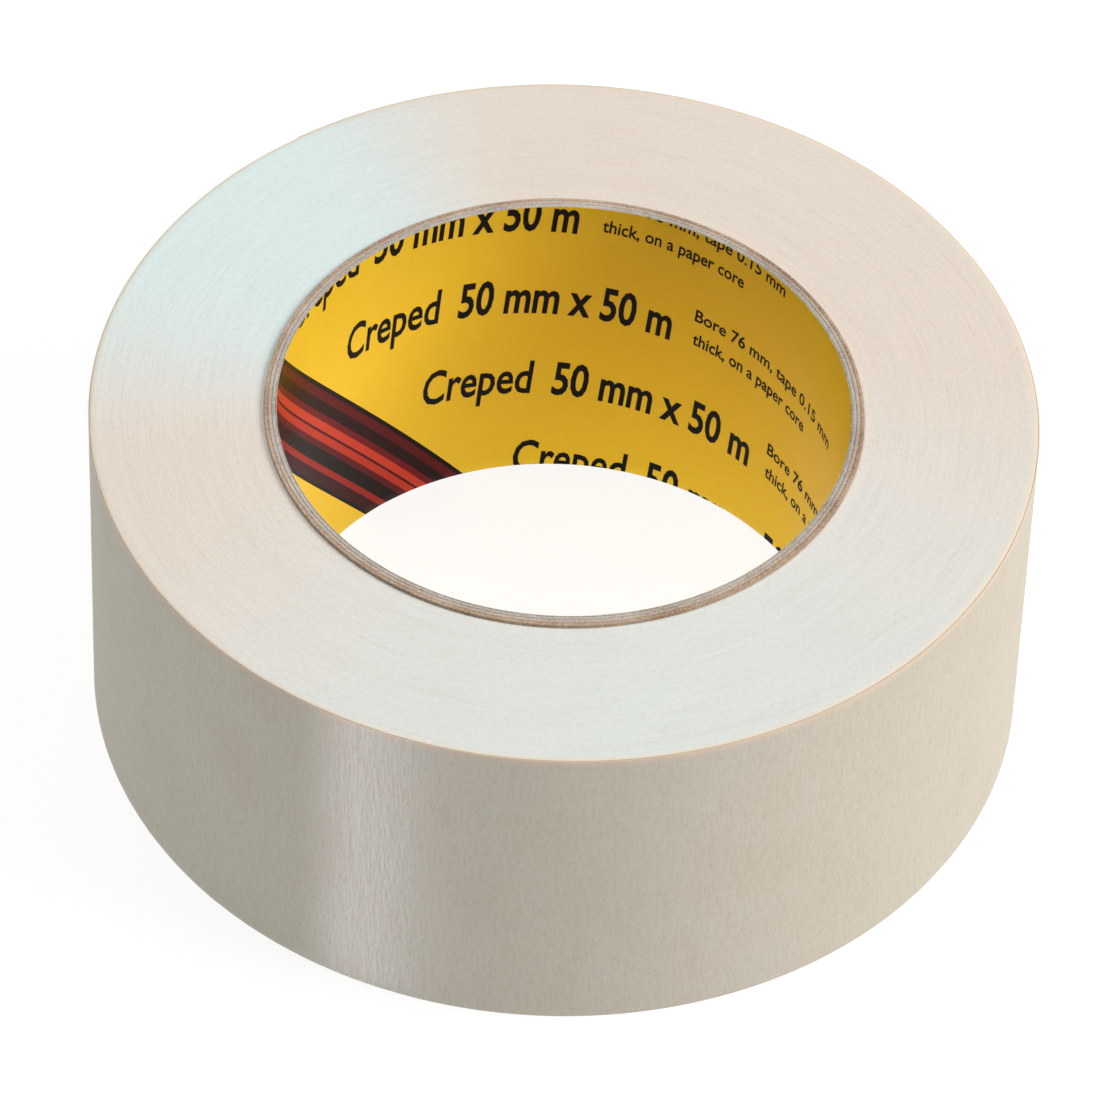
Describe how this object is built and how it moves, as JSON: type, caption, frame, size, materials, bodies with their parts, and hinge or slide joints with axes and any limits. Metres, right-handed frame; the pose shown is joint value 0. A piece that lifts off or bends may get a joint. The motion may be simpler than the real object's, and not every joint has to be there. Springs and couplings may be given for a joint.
{
  "type": "masking tape roll",
  "caption": "Roll of creped paper masking tape, wound on a spiral paper core with a printed liner, with a free end that peels away from the roll.",
  "frame": {"origin": "on the bore's axis, at the lower end face of the wound tape, where the roll rests when it lies flat", "axes": "+Z along the bore's axis, up; +X to the right and +Y to the back, with the tape's free end at the back"},
  "size_m": [0.126, 0.1261, 0.0505],
  "materials": {
    "printed_paper": "satin",
    "core_glue": "matte",
    "grey_board": "matte",
    "tan_board": "matte",
    "creped_paper": "matte",
    "rubber_adhesive": "gloss"
  },
  "bodies": {
    "roll": {"printed_liner": "printed_paper", "liner_glue": "core_glue", "inner_core_ply": "grey_board", "inner_ply_glue": "core_glue", "middle_core_ply": "tan_board", "outer_ply_glue": "core_glue", "outer_core_ply": "tan_board", "wound_tape": "creped_paper", "last_turn_backing": "creped_paper", "last_turn_adhesive": "rubber_adhesive"},
    "free_end_1": {"free_end_backing_1": "creped_paper", "free_end_adhesive_1": "rubber_adhesive"},
    "free_end_2": {"free_end_backing_2": "creped_paper", "free_end_adhesive_2": "rubber_adhesive"},
    "free_end_3": {"free_end_backing_3": "creped_paper", "free_end_adhesive_3": "rubber_adhesive"},
    "free_end_4": {"free_end_backing_4": "creped_paper", "free_end_adhesive_4": "rubber_adhesive"},
    "free_end_5": {"free_end_backing_5": "creped_paper", "free_end_adhesive_5": "rubber_adhesive"},
    "free_end_6": {"free_end_backing_6": "creped_paper", "free_end_adhesive_6": "rubber_adhesive"},
    "free_end_7": {"free_end_backing_7": "creped_paper", "free_end_adhesive_7": "rubber_adhesive"},
    "free_end_8": {"free_end_backing_8": "creped_paper", "free_end_adhesive_8": "rubber_adhesive"},
    "free_end_9": {"free_end_backing_9": "creped_paper", "free_end_adhesive_9": "rubber_adhesive"},
    "free_end_10": {"free_end_backing_10": "creped_paper", "free_end_adhesive_10": "rubber_adhesive"}
  },
  "joints": [
    {"name": "end_lift", "type": "hinge", "parent": "roll", "child": "free_end_1", "pos_m": [0.03676, 0.05125, 0.025], "axis": [0, 0, -1], "range_deg": [0, 60]},
    {"name": "end_curl", "type": "hinge", "parent": "free_end_1", "child": "free_end_2", "pos_m": [0.02999, 0.05549, 0.025], "axis": [0, 0, -1], "range_deg": [0, 13]},
    {"name": "end_curl_3", "type": "hinge", "parent": "free_end_2", "child": "free_end_3", "pos_m": [0.02273, 0.05885, 0.025], "axis": [0, 0, -1], "range_deg": [0, 13]},
    {"name": "end_curl_4", "type": "hinge", "parent": "free_end_3", "child": "free_end_4", "pos_m": [0.0151, 0.06125, 0.025], "axis": [0, 0, -1], "range_deg": [0, 13]},
    {"name": "end_curl_5", "type": "hinge", "parent": "free_end_4", "child": "free_end_5", "pos_m": [0.00724, 0.06267, 0.025], "axis": [0, 0, -1], "range_deg": [0, 13]},
    {"name": "end_curl_6", "type": "hinge", "parent": "free_end_5", "child": "free_end_6", "pos_m": [-0.00075, 0.06309, 0.025], "axis": [0, 0, -1], "range_deg": [0, 13]},
    {"name": "end_curl_7", "type": "hinge", "parent": "free_end_6", "child": "free_end_7", "pos_m": [-0.00872, 0.06249, 0.025], "axis": [0, 0, -1], "range_deg": [0, 13]},
    {"name": "end_curl_8", "type": "hinge", "parent": "free_end_7", "child": "free_end_8", "pos_m": [-0.01655, 0.06089, 0.025], "axis": [0, 0, -1], "range_deg": [0, 13]},
    {"name": "end_curl_9", "type": "hinge", "parent": "free_end_8", "child": "free_end_9", "pos_m": [-0.02412, 0.05831, 0.025], "axis": [0, 0, -1], "range_deg": [0, 13]},
    {"name": "end_curl_10", "type": "hinge", "parent": "free_end_9", "child": "free_end_10", "pos_m": [-0.0313, 0.05479, 0.025], "axis": [0, 0, -1], "range_deg": [0, 13]}
  ],
  "couplings": [
    {"joint": "end_curl_3", "follows": "end_curl", "ratio": 1},
    {"joint": "end_curl_4", "follows": "end_curl", "ratio": 1},
    {"joint": "end_curl_5", "follows": "end_curl", "ratio": 1},
    {"joint": "end_curl_6", "follows": "end_curl", "ratio": 1},
    {"joint": "end_curl_7", "follows": "end_curl", "ratio": 1},
    {"joint": "end_curl_8", "follows": "end_curl", "ratio": 1},
    {"joint": "end_curl_9", "follows": "end_curl", "ratio": 1},
    {"joint": "end_curl_10", "follows": "end_curl", "ratio": 1}
  ]
}
